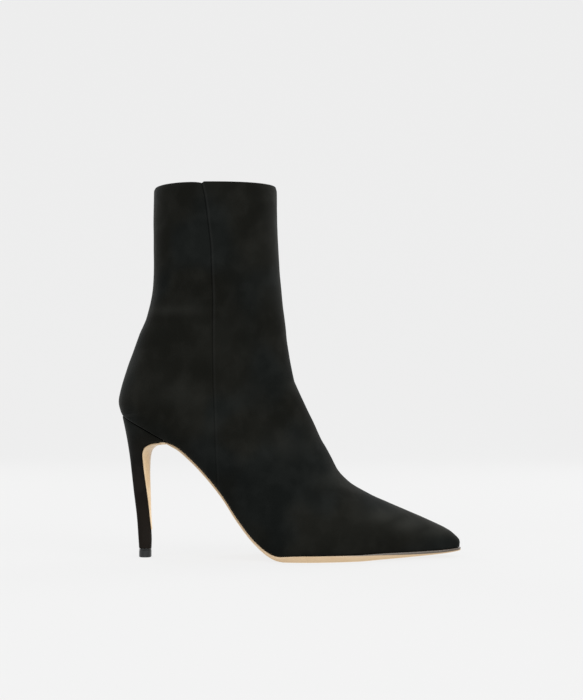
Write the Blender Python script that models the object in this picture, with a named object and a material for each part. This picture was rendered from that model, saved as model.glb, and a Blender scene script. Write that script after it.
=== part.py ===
"""A right-foot stiletto ankle bootie: hollow upper, leather outsole, insole, covered heel and top piece.

Metres, +Z up, +X to the toe and +Y to the inner side of the foot. The origin is on the floor, in the middle
of the bootie's length. Tables give each section's lengths as shares of the named sizes below.
"""
import math
from collections import namedtuple

import bmesh
import bpy
import numpy as np
from mathutils import Vector

# Sizes of the last and the bootie on it
LENGTH = 0.240
BALL_WIDTH = 0.082
HEEL_HEIGHT = 0.099
INSTEP_HEIGHT = 0.060
SHAFT_HEIGHT = 0.117
SHAFT_WIDTH = 0.072
TOE_SPRING = 0.0045

# Thicknesses of the leather and the board
UPPER_WALL = 0.0018
SOLE_EDGE = 0.0043
SOLE_REACH = 0.0006
FLAP_EDGE = 0.0011
INSOLE_BOARD = 0.0015

# The heel block and its wearing tip
SEAT_DEPTH = 0.033
TIP_DEPTH = 0.0087
TIP_WIDTH = 0.0090
TIP_HEIGHT = 0.0060
TIP_BEVEL = 0.0004

# Clearance between pieces that touch, and how finely the surfaces are divided
CLEARANCE = 0.0003
RING_SPACING = 0.0074
HALF_STEPS = 15
SOLE_STEPS = 8
HEEL_STEPS = 24
FINE_STEPS = 80
SHARP_ANGLE = math.radians(35)

HEEL_RINGS_PER_ROW = 2
FLAP_ROWS = 16
SEARCH_STEPS = 40

# Places along the bootie
TOE_FILL_WIDTH = 0.0045
INSOLE_TOE = 0.460
FLAP_BOTTOM = 1.35
FLAP_SKIVE = 0.35
SEAT_ROWS = 5

# The outsole's first row stands off the next, and its last row is drawn in and rounded at the toe
WAIST_ROW_GAP = 0.4
TOE_ROW_BACK = 0.1
TOE_ROW_SHARE = 0.6
TOE_ROUND = 0.0006

# Short steps either side of a point where a slope is taken: along the sole, the rows and the breast
SOLE_PROBE = 0.0005
ROW_PROBE = 0.01
BREAST_PROBE = 0.02

# The shaft's rings, collar first: back and front points rise above the seat by shares of instep and shaft
LegRow = namedtuple("LegRow", "back_x back_body back_shaft front_x front_body front_shaft wide widest low high")
LEG = [
    LegRow(-0.399, 0.717, 1.000, -0.038, 0.717, 1.000, 0.500, 0.50, 2.1, 2.3),
    LegRow(-0.400, 0.717, 0.838, -0.038, 0.717, 0.838, 0.494, 0.50, 2.1, 2.3),
    LegRow(-0.399, 0.717, 0.625, -0.034, 0.717, 0.630, 0.483, 0.50, 2.1, 2.3),
    LegRow(-0.401, 0.717, 0.410, -0.027, 0.717, 0.430, 0.467, 0.50, 2.1, 2.2),
    LegRow(-0.416, 0.717, 0.245, -0.020, 0.717, 0.290, 0.453, 0.49, 2.1, 2.2),
    LegRow(-0.441, 0.717, 0.120, -0.013, 0.717, 0.175, 0.442, 0.46, 2.1, 2.15),
    LegRow(-0.462, 0.708, 0.000, -0.008, 0.717, 0.080, 0.433, 0.43, 2.1, 2.10),
    LegRow(-0.482, 0.483, 0.000, -0.002, 0.717, 0.000, 0.431, 0.40, 2.1, 2.05),
    LegRow(-0.496, 0.292, 0.000, 0.003, 0.600, 0.000, 0.433, 0.37, 2.1, 2.00),
    LegRow(-0.501, 0.167, 0.000, 0.007, 0.517, 0.000, 0.436, 0.35, 2.1, 1.96),
    LegRow(-0.497, 0.075, 0.000, 0.011, 0.455, 0.000, 0.438, 0.33, 2.1, 1.93),
    LegRow(-0.490, 0.007, 0.000, 0.014, 0.403, 0.000, 0.439, 0.32, 2.1, 1.90),
]

# The foot's rings, heel to toe: the sole point lies on the last's bottom line, the front point on the instep
FootRow = namedtuple(
    "FootRow", "sole_x front_x front_lift front_body wide_out wide_in sole_out sole_in swing widest low high"
)
FOOT = [
    FootRow(-0.4810, 0.0175, 1.00, 0.367, 0.385, 0.385, 0.116, 0.116, 0.000, 0.31, 2.0, 1.88),
    FootRow(-0.4625, 0.0210, 1.00, 0.330, 0.384, 0.384, 0.198, 0.198, 0.000, 0.30, 2.0, 1.86),
    FootRow(-0.4330, 0.0255, 1.00, 0.290, 0.381, 0.381, 0.260, 0.260, 0.000, 0.29, 2.0, 1.84),
    FootRow(-0.3920, 0.0320, 0.95, 0.317, 0.378, 0.378, 0.286, 0.286, 0.000, 0.29, 2.0, 1.82),
    FootRow(-0.3500, 0.0390, 0.88, 0.375, 0.372, 0.370, 0.281, 0.279, 0.000, 0.28, 2.0, 1.80),
    FootRow(-0.3040, 0.0480, 0.79, 0.450, 0.366, 0.360, 0.264, 0.252, 0.000, 0.28, 2.0, 1.78),
    FootRow(-0.2580, 0.0585, 0.69, 0.528, 0.364, 0.352, 0.252, 0.228, 0.000, 0.28, 2.0, 1.77),
    FootRow(-0.2080, 0.0710, 0.57, 0.620, 0.370, 0.350, 0.258, 0.218, 0.000, 0.28, 2.0, 1.76),
    FootRow(-0.1580, 0.0850, 0.44, 0.713, 0.388, 0.362, 0.288, 0.238, 0.000, 0.27, 2.0, 1.75),
    FootRow(-0.1080, 0.1020, 0.31, 0.800, 0.420, 0.395, 0.338, 0.292, 0.000, 0.27, 2.0, 1.75),
    FootRow(-0.0580, 0.1215, 0.19, 0.852, 0.460, 0.440, 0.398, 0.362, 0.000, 0.27, 2.0, 1.75),
    FootRow(-0.0080, 0.1450, 0.09, 0.853, 0.490, 0.478, 0.440, 0.422, 0.000, 0.28, 2.0, 1.76),
    FootRow(0.0500, 0.1810, 0.03, 0.809, 0.500, 0.495, 0.460, 0.450, 0.000, 0.29, 2.0, 1.78),
    FootRow(0.1170, 0.2320, 0.00, 0.743, 0.475, 0.480, 0.445, 0.447, 0.010, 0.30, 2.0, 1.82),
    FootRow(0.1920, 0.2880, 0.00, 0.640, 0.412, 0.425, 0.390, 0.400, 0.020, 0.31, 2.0, 1.9),
    FootRow(0.2670, 0.3420, 0.00, 0.544, 0.338, 0.350, 0.320, 0.332, 0.034, 0.33, 2.0, 2.0),
    FootRow(0.3420, 0.3940, 0.00, 0.454, 0.262, 0.268, 0.247, 0.253, 0.046, 0.35, 2.0, 2.0),
    FootRow(0.4080, 0.4400, 0.00, 0.371, 0.190, 0.190, 0.178, 0.178, 0.055, 0.38, 2.0, 2.0),
    FootRow(0.4540, 0.4700, 0.00, 0.305, 0.134, 0.132, 0.126, 0.124, 0.060, 0.40, 2.0, 2.0),
    FootRow(0.4830, 0.4885, 0.00, 0.243, 0.082, 0.080, 0.076, 0.074, 0.062, 0.42, 2.0, 2.0),
    FootRow(0.4950, 0.4975, 0.00, 0.203, 0.044, 0.042, 0.040, 0.038, 0.063, 0.45, 2.0, 2.0),
    FootRow(0.4995, 0.5003, 0.00, 0.165, 0.000, 0.000, 0.000, 0.000, 0.063, 0.50, 2.0, 2.0),
]

# The outsole's lower face, heel lip to toe: rise is a share of the heel, spring of the toe spring
SoleRow = namedtuple("SoleRow", "x rise spring thickness reach")
SOLE = [
    SoleRow(-0.352, 0.795, 0.00, 0.43, -2.0),
    SoleRow(-0.333, 0.777, 0.00, 0.39, -2.0),
    SoleRow(-0.288, 0.687, 0.00, 0.355, -2.0),
    SoleRow(-0.242, 0.569, 0.00, 0.335, -1.8),
    SoleRow(-0.196, 0.430, 0.00, 0.335, -1.5),
    SoleRow(-0.150, 0.261, 0.00, 0.35, -1.0),
    SoleRow(-0.104, 0.123, 0.00, 0.40, -0.4),
    SoleRow(-0.058, 0.031, 0.00, 0.54, 0.2),
    SoleRow(-0.037, 0.008, 0.00, 0.69, 0.6),
    SoleRow(-0.016, 0.000, 0.00, 0.86, 1.0),
    SoleRow(0.050, 0.000, 0.00, 1.00, 1.0),
    SoleRow(0.187, 0.000, 0.00, 1.00, 1.0),
    SoleRow(0.258, 0.000, 0.16, 0.95, 1.0),
    SoleRow(0.358, 0.000, 0.42, 0.75, 1.0),
    SoleRow(0.450, 0.000, 0.72, 0.56, 1.0),
    SoleRow(0.500, 0.000, 1.00, 0.46, 1.0),
]

# The heel's rings, tip to seat: lift goes from the top piece to the seat, depth from the tip's to the seat's
# by flare, and half width by spread
HeelRow = namedtuple("HeelRow", "back_x back_lift drop flare spread widest back_power front_power flap")
HEEL = [
    HeelRow(-0.4404, 0.000, 0.000, 0.000, 0.000, 0.50, 2.1, 2.3, 0.30),
    HeelRow(-0.4430, 0.092, 0.000, 0.030, 0.000, 0.50, 2.1, 2.3, 0.34),
    HeelRow(-0.4475, 0.245, 0.000, 0.034, 0.000, 0.50, 2.1, 2.2, 0.52),
    HeelRow(-0.4560, 0.420, 0.007, 0.096, 0.030, 0.50, 2.1, 2.0, 0.72),
    HeelRow(-0.4630, 0.579, 0.025, 0.146, 0.110, 0.50, 2.1, 2.0, 0.85),
    HeelRow(-0.4675, 0.681, 0.034, 0.190, 0.250, 0.52, 2.1, 2.0, 0.90),
    HeelRow(-0.4730, 0.779, 0.071, 0.260, 0.450, 0.55, 2.1, 2.1, 0.92),
    HeelRow(-0.4785, 0.860, 0.102, 0.366, 0.660, 0.60, 2.0, 2.4, 0.88),
    HeelRow(-0.4840, 0.9295, 0.135, 0.564, 0.845, 0.65, 2.0, 3.2, 0.82),
    HeelRow(-0.4882, 0.9785, 0.169, 0.807, 0.955, 0.68, 2.0, 5.0, 0.85),
    HeelRow(-0.4896, 1.000, 0.184, 1.000, 1.000, 0.70, 2.0, 8.0, 0.88),
]


def smooth_value(places, values, at, level=False):
    """A smooth cubic through the table's values. Where level is set, level stretches stay level."""
    last = len(places) - 1
    i = min(max(int(np.searchsorted(places, at, side="right")) - 1, 0), last - 1)
    steps = [places[k + 1] - places[k] for k in range(last)]
    rises = [(values[k + 1] - values[k]) / steps[k] for k in range(last)]

    def slope(k):
        if k == 0:
            return rises[0]
        if k == last:
            return rises[-1]
        if not level:
            return (rises[k - 1] * steps[k] + rises[k] * steps[k - 1]) / (steps[k] + steps[k - 1])
        if rises[k - 1] * rises[k] <= 0:
            return 0.0
        before = 2 * steps[k] + steps[k - 1]
        after = steps[k] + 2 * steps[k - 1]
        return (before + after) / (before / rises[k - 1] + after / rises[k])

    step = steps[i]
    u = min(max((at - places[i]) / step, 0.0), 1.0)
    start = (1 + 2 * u) * (1 - u) ** 2 * values[i] + u * (1 - u) ** 2 * step * slope(i)
    end = u * u * (3 - 2 * u) * values[i + 1] - u * u * (1 - u) * step * slope(i + 1)
    return start + end


def column_value(rows, name, at):
    """A column's value at a row number that may lie between two rows."""
    return smooth_value(list(range(len(rows))), [getattr(row, name) for row in rows], at)


def sole_value(name, x):
    """A column of the outsole at x, with its level stretches kept level."""
    return smooth_value([row.x for row in SOLE], [getattr(row, name) for row in SOLE], x / LENGTH, level=True)


def side_normal(before, after):
    """The upward normal, in the side view, of a line that runs towards the toe."""
    along = (after - before).normalized()
    return Vector((-along.z, 0.0, along.x))


def heel_back(at):
    """The back point of the heel's ring, from the top piece's clearance up to the seat."""
    foot = TIP_HEIGHT + CLEARANCE
    return Vector((
        column_value(HEEL, "back_x", at) * LENGTH,
        0.0,
        foot + column_value(HEEL, "back_lift", at) * (HEEL_HEIGHT - foot),
    ))


def heel_front(at):
    """The front point of the heel's ring, on the breast."""
    depth = TIP_DEPTH + column_value(HEEL, "flare", at) * (SEAT_DEPTH - TIP_DEPTH)
    return heel_back(at) + Vector((depth, 0.0, -column_value(HEEL, "drop", at) * HEEL_HEIGHT))


def heel_half(at):
    """Half the heel's width at a ring, from the tip's to the seat's."""
    seat = max(row.sole_out for row in FOOT[:SEAT_ROWS]) * BALL_WIDTH
    return TIP_WIDTH / 2 + column_value(HEEL, "spread", at) * (seat - TIP_WIDTH / 2)


def breast_point(at, across):
    """A point of the heel's breast: across runs from -1 on the outer side to 1 on the inner side."""
    back = heel_back(at)
    front = heel_front(at)
    power = column_value(HEEL, "front_power", at)
    share = abs(across) * column_value(HEEL, "flap", at)
    depth = 1 - column_value(HEEL, "widest", at)
    inset = depth * (1 - (1 - share ** power) ** (1 / power))
    point = front + (back - front) * inset
    return point + Vector((0.0, math.copysign(share, across) * heel_half(at), 0.0))


def sole_point(x):
    """The outsole's lower face at x, in the side view."""
    return Vector((x, 0.0, sole_value("rise", x) * HEEL_HEIGHT + sole_value("spring", x) * TOE_SPRING))


def sole_lift(x, height):
    """The point at a height above the outsole's lower face, square to it."""
    normal = side_normal(sole_point(x - SOLE_PROBE), sole_point(x + SOLE_PROBE))
    return sole_point(x) + normal * height


def sole_thickness(x):
    """The outsole's thickness at x."""
    return sole_value("thickness", x) * SOLE_EDGE


def last_bottom(x, height=0.0):
    """The line that the upper stands on, at x: the heel's seat, then the outsole; raised by a height."""
    seat_back = heel_back(len(HEEL) - 1)
    seat_front = heel_front(len(HEEL) - 1)
    if x > seat_front.x + CLEARANCE:
        return sole_lift(x, sole_thickness(x) + CLEARANCE + height)
    along = (x - seat_back.x) / (seat_front.x - seat_back.x)
    point = seat_back + (seat_front - seat_back) * along
    return point + side_normal(seat_back, seat_front) * (CLEARANCE + height)


def back_point(at):
    """The back or sole point of the upper's ring."""
    if at <= len(LEG) - 1:
        return Vector((ring_value("back_x", at), 0.0, ring_value("back_z", at)))
    return last_bottom(foot_value("sole_x", at) * LENGTH)


def foot_value(name, at):
    """A column of the foot, joined to the shaft's last ring so that the lines run on."""
    shared = {"sole_x": "back_x", "front_x": "front_x", "widest": "widest", "low": "low", "high": "high"}
    if name in shared:
        first = getattr(LEG[-1], shared[name])
    else:
        first = {"front_lift": 1.0, "front_body": LEG[-1].front_body}.get(name, 0.0)
    values = [first] + [getattr(row, name) for row in FOOT]
    return smooth_value(list(range(len(values))), values, at - (len(LEG) - 1))


def ring_lines():
    """The rings' shared columns over the whole upper, from the collar to the toe."""
    lines = {}
    lines["back_x"] = [row.back_x * LENGTH for row in LEG] + [row.sole_x * LENGTH for row in FOOT]
    lines["back_z"] = [
        HEEL_HEIGHT + row.back_body * INSTEP_HEIGHT + row.back_shaft * SHAFT_HEIGHT for row in LEG
    ] + [last_bottom(row.sole_x * LENGTH).z for row in FOOT]
    lines["front_x"] = [row.front_x * LENGTH for row in LEG] + [row.front_x * LENGTH for row in FOOT]
    lines["front_z"] = [
        HEEL_HEIGHT + row.front_body * INSTEP_HEIGHT + row.front_shaft * SHAFT_HEIGHT for row in LEG
    ] + [row.front_lift * HEEL_HEIGHT + row.front_body * INSTEP_HEIGHT for row in FOOT]
    lines["wide_out"] = [row.wide * SHAFT_WIDTH for row in LEG] + [row.wide_out * BALL_WIDTH for row in FOOT]
    lines["wide_in"] = [row.wide * SHAFT_WIDTH for row in LEG] + [row.wide_in * BALL_WIDTH for row in FOOT]
    lines["swing"] = [0.0 for row in LEG] + [row.swing * BALL_WIDTH for row in FOOT]
    lines["widest"] = [row.widest for row in LEG + FOOT]
    lines["low"] = [row.low for row in LEG + FOOT]
    lines["high"] = [row.high for row in LEG + FOOT]
    return lines


RING_LINES = ring_lines()
LAST_RING = len(LEG) + len(FOOT) - 1


def ring_value(name, at):
    """A value shared by all rings, at a row number from the collar."""
    return smooth_value(list(range(LAST_RING + 1)), RING_LINES[name], at)


def sole_half(at, side):
    """Half the width that a ring leaves open underneath; none on the shaft's closed rings."""
    if at <= len(LEG) - 1:
        return 0.0
    return foot_value("sole_out" if side < 0 else "sole_in", at) * BALL_WIDTH


def ring_half(at, side):
    """One side of a ring, from the back or sole point up to the front point, in even steps."""
    back = back_point(at)
    front = Vector((ring_value("front_x", at), 0.0, ring_value("front_z", at)))
    open_half = sole_half(at, side)
    wide = ring_value("wide_out" if side < 0 else "wide_in", at)
    widest = ring_value("widest", at)
    low = 2 / ring_value("low", at)
    high = 2 / ring_value("high", at)
    swing = Vector((0.0, ring_value("swing", at), 0.0))
    fine = []
    for k in range(FINE_STEPS + 1):
        turn = math.pi * k / FINE_STEPS
        if turn < math.pi / 2:
            share = widest * (1 - math.cos(turn) ** low)
            half = open_half + (wide - open_half) * math.sin(turn) ** low
        else:
            share = widest + (1 - widest) * abs(math.cos(turn)) ** high
            half = wide * abs(math.sin(turn)) ** high
        fine.append(back + (front - back) * share + swing + Vector((0.0, side * half, 0.0)))
    return even_points(fine, HALF_STEPS)


def even_points(points, steps):
    """Points at even distances along a line of finer points."""
    reach = [0.0]
    for before, after in zip(points, points[1:]):
        reach.append(reach[-1] + (after - before).length)
    wanted = np.linspace(0.0, reach[-1], steps + 1)
    axes = [np.interp(wanted, reach, [point[axis] for point in points]) for axis in range(3)]
    return [Vector(place) for place in zip(*axes)]


def ring_places():
    """The rings' row numbers, closer together where the rows already are."""
    places = [0.0]
    for row in range(LAST_RING):
        back_travel = (back_point(row + 1) - back_point(row)).length
        front_travel = Vector((
            ring_value("front_x", row + 1) - ring_value("front_x", row),
            ring_value("front_z", row + 1) - ring_value("front_z", row),
        )).length
        steps = max(1, round(max(back_travel, front_travel) / RING_SPACING))
        places += [row + k / steps for k in range(1, steps + 1)]
    return places


def upper_ring(at):
    """A whole ring, from the outer side's lower end over the front to the inner side's lower end."""
    outer = ring_half(at, -1)
    inner = ring_half(at, 1)
    return outer + inner[-2::-1]


def grid_faces(rows):
    """The faces between rows of corners, without the ones that have shrunk to a line."""
    faces = []
    for before, after in zip(rows, rows[1:]):
        for k in range(len(before) - 1):
            corners = []
            for corner in (before[k], before[k + 1], after[k + 1], after[k]):
                if corner not in corners:
                    corners.append(corner)
            if len(corners) > 2:
                faces.append(corners)
    return faces


def new_material(name, colour, roughness):
    """A material with the piece's own colour."""
    material = bpy.data.materials.new(name)
    material.use_nodes = True
    shader = material.node_tree.nodes["Principled BSDF"]
    shader.inputs["Base Color"].default_value = (*colour, 1.0)
    shader.inputs["Roughness"].default_value = roughness
    shader.inputs["Metallic"].default_value = 0.0
    return material


def finish_piece(name, bm, material):
    """Turns a bmesh into a named object with its faces pointing out."""
    bmesh.ops.recalc_face_normals(bm, faces=bm.faces[:])
    if bm.calc_volume(signed=True) < 0:
        bmesh.ops.reverse_faces(bm, faces=bm.faces[:])
    bmesh.ops.triangulate(bm, faces=bm.faces[:])
    mesh = bpy.data.meshes.new(name)
    bm.to_mesh(mesh)
    bm.free()
    mesh.shade_smooth()
    mesh.set_sharp_from_angle(angle=SHARP_ANGLE)
    piece = bpy.data.objects.new(name, mesh)
    piece.data.materials.append(material)
    bpy.context.scene.collection.objects.link(piece)
    return piece


def upper_outside(bm, places):
    """The upper's outer face. Closed rings and the toe's last ring share their corners."""
    rows = []
    for at in places:
        points = upper_ring(at)
        corners = [bm.verts.new(point) for point in points]
        if at <= len(LEG) - 1:
            bm.verts.remove(corners[-1])
            corners[-1] = corners[0]
        rows.append(corners)
    tip = rows[-1]
    for k in range(HALF_STEPS):
        bm.verts.remove(tip[-1 - k])
        tip[-1 - k] = tip[k]
    for corners in grid_faces(rows):
        bm.faces.new(corners)
    return rows


def make_upper(material):
    """The hollow upper: outer face, inner face, and rims at the collar and along the feather edge."""
    places = ring_places()
    bm = bmesh.new()
    outside = upper_outside(bm, places)
    bmesh.ops.recalc_face_normals(bm, faces=bm.faces[:])
    bm.normal_update()
    outward = 1.0 if outside[0][HALF_STEPS].normal.x > 0 else -1.0
    last_inner = max(
        k for k, at in enumerate(places) if at <= len(LEG) or sole_half(at, 1) > TOE_FILL_WIDTH
    )
    twins = {}
    for row in outside[:last_inner + 1]:
        for corner in row:
            if corner not in twins:
                twins[corner] = bm.verts.new(corner.co - corner.normal * outward * UPPER_WALL)
    inside = [[twins[corner] for corner in row] for row in outside[:last_inner + 1]]
    for corners in grid_faces(inside):
        bm.faces.new(corners[::-1])
    for k in range(2 * HALF_STEPS):
        bm.faces.new((outside[0][k], outside[0][k + 1], inside[0][k + 1], inside[0][k]))
    first_open = max(k for k, at in enumerate(places) if at <= len(LEG) - 1)
    for k in range(first_open, last_inner):
        for end in (0, -1):
            bm.faces.new((outside[k][end], outside[k + 1][end], inside[k + 1][end], inside[k][end]))
    close_toe(bm, outside, inside, last_inner)
    return finish_piece("upper", bm, material)


def close_toe(bm, outside, inside, last_inner):
    """Closes the toe in front of the hollow, where the real toe is filled by its stiffener."""
    ring = inside[last_inner]
    for k in range(HALF_STEPS):
        corners = []
        for corner in (ring[k], ring[k + 1], ring[-2 - k], ring[-1 - k]):
            if corner not in corners:
                corners.append(corner)
        bm.faces.new(corners)
    bm.faces.new((outside[last_inner][0], outside[last_inner][-1], ring[-1], ring[0]))
    for before, after in zip(outside[last_inner:], outside[last_inner + 1:]):
        corners = []
        for corner in (before[0], after[0], after[-1], before[-1]):
            if corner not in corners:
                corners.append(corner)
        bm.faces.new(corners)


def outline_point(at, side, spread):
    """The feather line seen from above at a row number, moved outward by a spread."""
    def place(row):
        x = foot_value("sole_x", row) * LENGTH
        return Vector((x, side * sole_half(row, side) + foot_value("swing", row) * BALL_WIDTH, 0.0))

    before = place(max(at - ROW_PROBE, len(LEG) - 1))
    after = place(min(at + ROW_PROBE, LAST_RING))
    along = (after - before).normalized()
    outward = Vector((-along.y, along.x, 0.0)) * side
    if at >= LAST_RING:
        outward = Vector((1.0, 0.0, 0.0))
    return place(at) + outward * spread


def sole_row_place(x):
    """The row number at which the feather line passes x."""
    low = len(LEG) - 1.0
    high = float(LAST_RING)
    for _ in range(SEARCH_STEPS):
        middle = (low + high) / 2
        if foot_value("sole_x", middle) * LENGTH < x:
            low = middle
        else:
            high = middle
    return (low + high) / 2


def slab(bm, lower, upper):
    """A closed plate between two grids of points with the same rows."""
    def corners(grid):
        made = []
        for row in grid:
            line = [bm.verts.new(point) for point in row]
            made.append(line)
        return made

    low = corners(lower)
    high = corners(upper)
    for face in grid_faces(low):
        bm.faces.new(face)
    for face in grid_faces(high):
        bm.faces.new(face[::-1])
    loop_low = low[0] + [row[-1] for row in low[1:]] + low[-1][-2::-1] + [row[0] for row in low[-2:0:-1]]
    loop_high = high[0] + [row[-1] for row in high[1:]] + high[-1][-2::-1] + [row[0] for row in high[-2:0:-1]]
    for k, corner in enumerate(loop_low):
        following = (k + 1) % len(loop_low)
        bm.faces.new((corner, loop_low[following], loop_high[following], loop_high[k]))


def flap_rows():
    """The outsole's rows down the heel's breast, lowest first: it follows the breast at the clearance."""
    seat_row = len(HEEL) - 1.0
    probe = BREAST_PROBE
    inner = []
    outer = []
    for k in range(FLAP_ROWS):
        share = k / (FLAP_ROWS - 1)
        at = FLAP_BOTTOM + (seat_row - FLAP_BOTTOM) * share
        thin = FLAP_EDGE * (FLAP_SKIVE + (1 - FLAP_SKIVE) * share)
        inner_row = []
        outer_row = []
        for j in range(SOLE_STEPS + 1):
            across = -1 + 2 * j / SOLE_STEPS
            point = breast_point(at, across)
            up = breast_point(min(at + probe, seat_row), across) - breast_point(at - probe, across)
            over = breast_point(at, min(across + probe, 1.0)) - breast_point(at, max(across - probe, -1.0))
            outward = over.cross(up).normalized()
            if outward.x < 0:
                outward.negate()
            inner_row.append(point + outward * CLEARANCE)
            outer_row.append(point + outward * (CLEARANCE + thin))
        inner.append(inner_row)
        outer.append(outer_row)
    return inner, outer


def waist_places():
    """The row numbers of the outsole in front of the heel's lip, closer together at the toe."""
    first = sole_row_place(heel_front(len(HEEL) - 1).x + 2 * FLAP_EDGE)
    places = [first]
    for at in ring_places():
        if at > first + WAIST_ROW_GAP:
            places.append(at)
    return places


def sole_rows(places, spread_of, low_height, high_height):
    """Rows across the foot, outer edge to inner edge, at two heights above the outsole's lower face."""
    lower = []
    upper = []
    for at in places:
        spread = spread_of(at)
        outer_edge = outline_point(at, -1, spread)
        inner_edge = outline_point(at, 1, spread)
        if at >= LAST_RING:
            outer_edge = outline_point(at - TOE_ROW_BACK, -1, spread).lerp(outer_edge, TOE_ROW_SHARE)
            inner_edge = outline_point(at - TOE_ROW_BACK, 1, spread).lerp(inner_edge, TOE_ROW_SHARE)
        low_row = []
        high_row = []
        for j in range(SOLE_STEPS + 1):
            point = outer_edge.lerp(inner_edge, j / SOLE_STEPS)
            if at >= LAST_RING:
                point.x = outline_point(at, 1, spread).x - (2 * j / SOLE_STEPS - 1) ** 2 * TOE_ROUND
            across = Vector((0.0, point.y, 0.0))
            low_row.append(low_height(point.x) + across)
            high_row.append(high_height(point.x) + across)
        lower.append(low_row)
        upper.append(high_row)
    return lower, upper


def make_outsole(material):
    """The leather outsole: forefoot, waist, and the flap that runs on down the heel's breast."""
    flap_inner, flap_outer = flap_rows()

    def spread(at):
        return sole_value("reach", foot_value("sole_x", at) * LENGTH) * SOLE_REACH

    lower, upper = sole_rows(
        waist_places(), spread, sole_point, lambda x: sole_lift(x, sole_thickness(x))
    )
    bm = bmesh.new()
    slab(bm, flap_outer + lower, flap_inner + upper)
    return finish_piece("outsole", bm, material)


def make_insole(material):
    """The board and sock that lie on the last's bottom inside the upper's wall."""
    inset = UPPER_WALL + CLEARANCE
    places = [at for at in ring_places() if at >= len(LEG) and foot_value("sole_x", at) < INSOLE_TOE]

    def spread(_at):
        return -inset

    lower, upper = sole_rows(
        places, spread, last_bottom, lambda x: last_bottom(x, INSOLE_BOARD)
    )
    bm = bmesh.new()
    slab(bm, lower, upper)
    return finish_piece("insole", bm, material)


def heel_ring(at):
    """A closed ring of the heel: a round back, and a breast that squares up towards the seat."""
    back = heel_back(at)
    front = heel_front(at)
    half = heel_half(at)
    widest = column_value(HEEL, "widest", at)
    powers = (2 / column_value(HEEL, "back_power", at), 2 / column_value(HEEL, "front_power", at))
    points = []
    for side in (-1, 1):
        fine = []
        for k in range(FINE_STEPS + 1):
            turn = math.pi * k / FINE_STEPS
            power = powers[0] if turn < math.pi / 2 else powers[1]
            reach = abs(math.cos(turn)) ** power
            share = widest * (1 - reach) if turn < math.pi / 2 else widest + (1 - widest) * reach
            out = side * half * abs(math.sin(turn)) ** power
            fine.append(back + (front - back) * share + Vector((0.0, out, 0.0)))
        line = even_points(fine, HEEL_STEPS // 2)
        points += line[:-1] if side < 0 else line[:0:-1]
    return points


def loft(bm, rings):
    """A closed solid through rings with the same number of points."""
    made = []
    for ring in rings:
        made.append([bm.verts.new(point) for point in ring])
    for before, after in zip(made, made[1:]):
        for k, corner in enumerate(before):
            following = (k + 1) % len(before)
            bm.faces.new((corner, before[following], after[following], after[k]))
    bm.faces.new(made[0][::-1])
    bm.faces.new(made[-1])


def make_heel(material):
    """The slim heel block, from the top piece to the seat."""
    count = (len(HEEL) - 1) * HEEL_RINGS_PER_ROW
    bm = bmesh.new()
    loft(bm, [heel_ring(k / HEEL_RINGS_PER_ROW) for k in range(count + 1)])
    return finish_piece("heel", bm, material)


def make_top_piece(material):
    """The wearing tip under the heel, flat on the floor, its lower edge eased."""
    ring = heel_ring(0.0)
    middle = sum(ring, Vector()) / len(ring)
    levels = ((0.0, TIP_BEVEL), (TIP_BEVEL, 0.0), (TIP_HEIGHT, 0.0))
    rings = []
    for height, inset in levels:
        level = []
        for point in ring:
            inward = (middle - point).normalized() * inset
            level.append(Vector((point.x + inward.x, point.y + inward.y, height)))
        rings.append(level)
    bm = bmesh.new()
    loft(bm, rings)
    return finish_piece("top_piece", bm, material)


def main():
    for old in list(bpy.data.objects):
        bpy.data.objects.remove(old, do_unlink=True)
    suede = new_material("suede", (0.012, 0.012, 0.011), 0.95)
    leather = new_material("sole_leather", (0.78, 0.58, 0.34), 0.45)
    sock = new_material("lining_leather", (0.66, 0.48, 0.32), 0.6)
    tip = new_material("tip_black", (0.02, 0.02, 0.02), 0.35)
    make_upper(suede)
    make_outsole(leather)
    make_insole(sock)
    make_heel(suede)
    make_top_piece(tip)


main()
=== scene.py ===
import math
from collections import namedtuple

import bmesh
import bpy
import numpy as np
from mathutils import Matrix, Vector, noise


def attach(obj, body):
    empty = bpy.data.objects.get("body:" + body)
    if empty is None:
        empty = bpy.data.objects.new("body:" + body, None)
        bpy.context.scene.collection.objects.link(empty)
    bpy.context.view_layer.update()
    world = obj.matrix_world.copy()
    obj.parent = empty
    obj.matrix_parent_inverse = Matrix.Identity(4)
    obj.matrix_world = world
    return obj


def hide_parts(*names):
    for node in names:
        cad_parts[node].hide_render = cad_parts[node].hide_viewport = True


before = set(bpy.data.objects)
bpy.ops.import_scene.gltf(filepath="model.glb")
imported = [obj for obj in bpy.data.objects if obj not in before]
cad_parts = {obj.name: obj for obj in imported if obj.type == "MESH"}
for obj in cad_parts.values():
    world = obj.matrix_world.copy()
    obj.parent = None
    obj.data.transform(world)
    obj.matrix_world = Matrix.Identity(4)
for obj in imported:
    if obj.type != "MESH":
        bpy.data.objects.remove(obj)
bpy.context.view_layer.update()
print("frame loaded")

# Sizes of the last, in metres, as the solids have them
last = {
    "length": 0.240, "ballWidth": 0.082, "heelHeight": 0.099, "instepHeight": 0.060,
    "shaftHeight": 0.117, "shaftWidth": 0.072, "toeSpring": 0.0045,
}
# The upper: its wall and how finely it is divided, the side seam, and the collar with its fold, dip and notch
upperPiece = {
    "wall": 0.0018, "ringSpacing": 0.0019, "halfSteps": 92, "toeFill": 0.0045, "unevenness": 0.00035,
    "seamStep": 0.00045, "seamSoftness": 0.0007, "seamFade": 0.028,
    "seamGroove": 0.00025, "seamWidth": 0.00242,
    "collarRound": 0.0006, "collarBand": 0.012, "collarCalm": 0.6, "backDip": 0.0011, "backDipPower": 5,
    "notch": 0.0010, "notchLength": 0.0035, "notchEnd": 0.0004,
}
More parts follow.
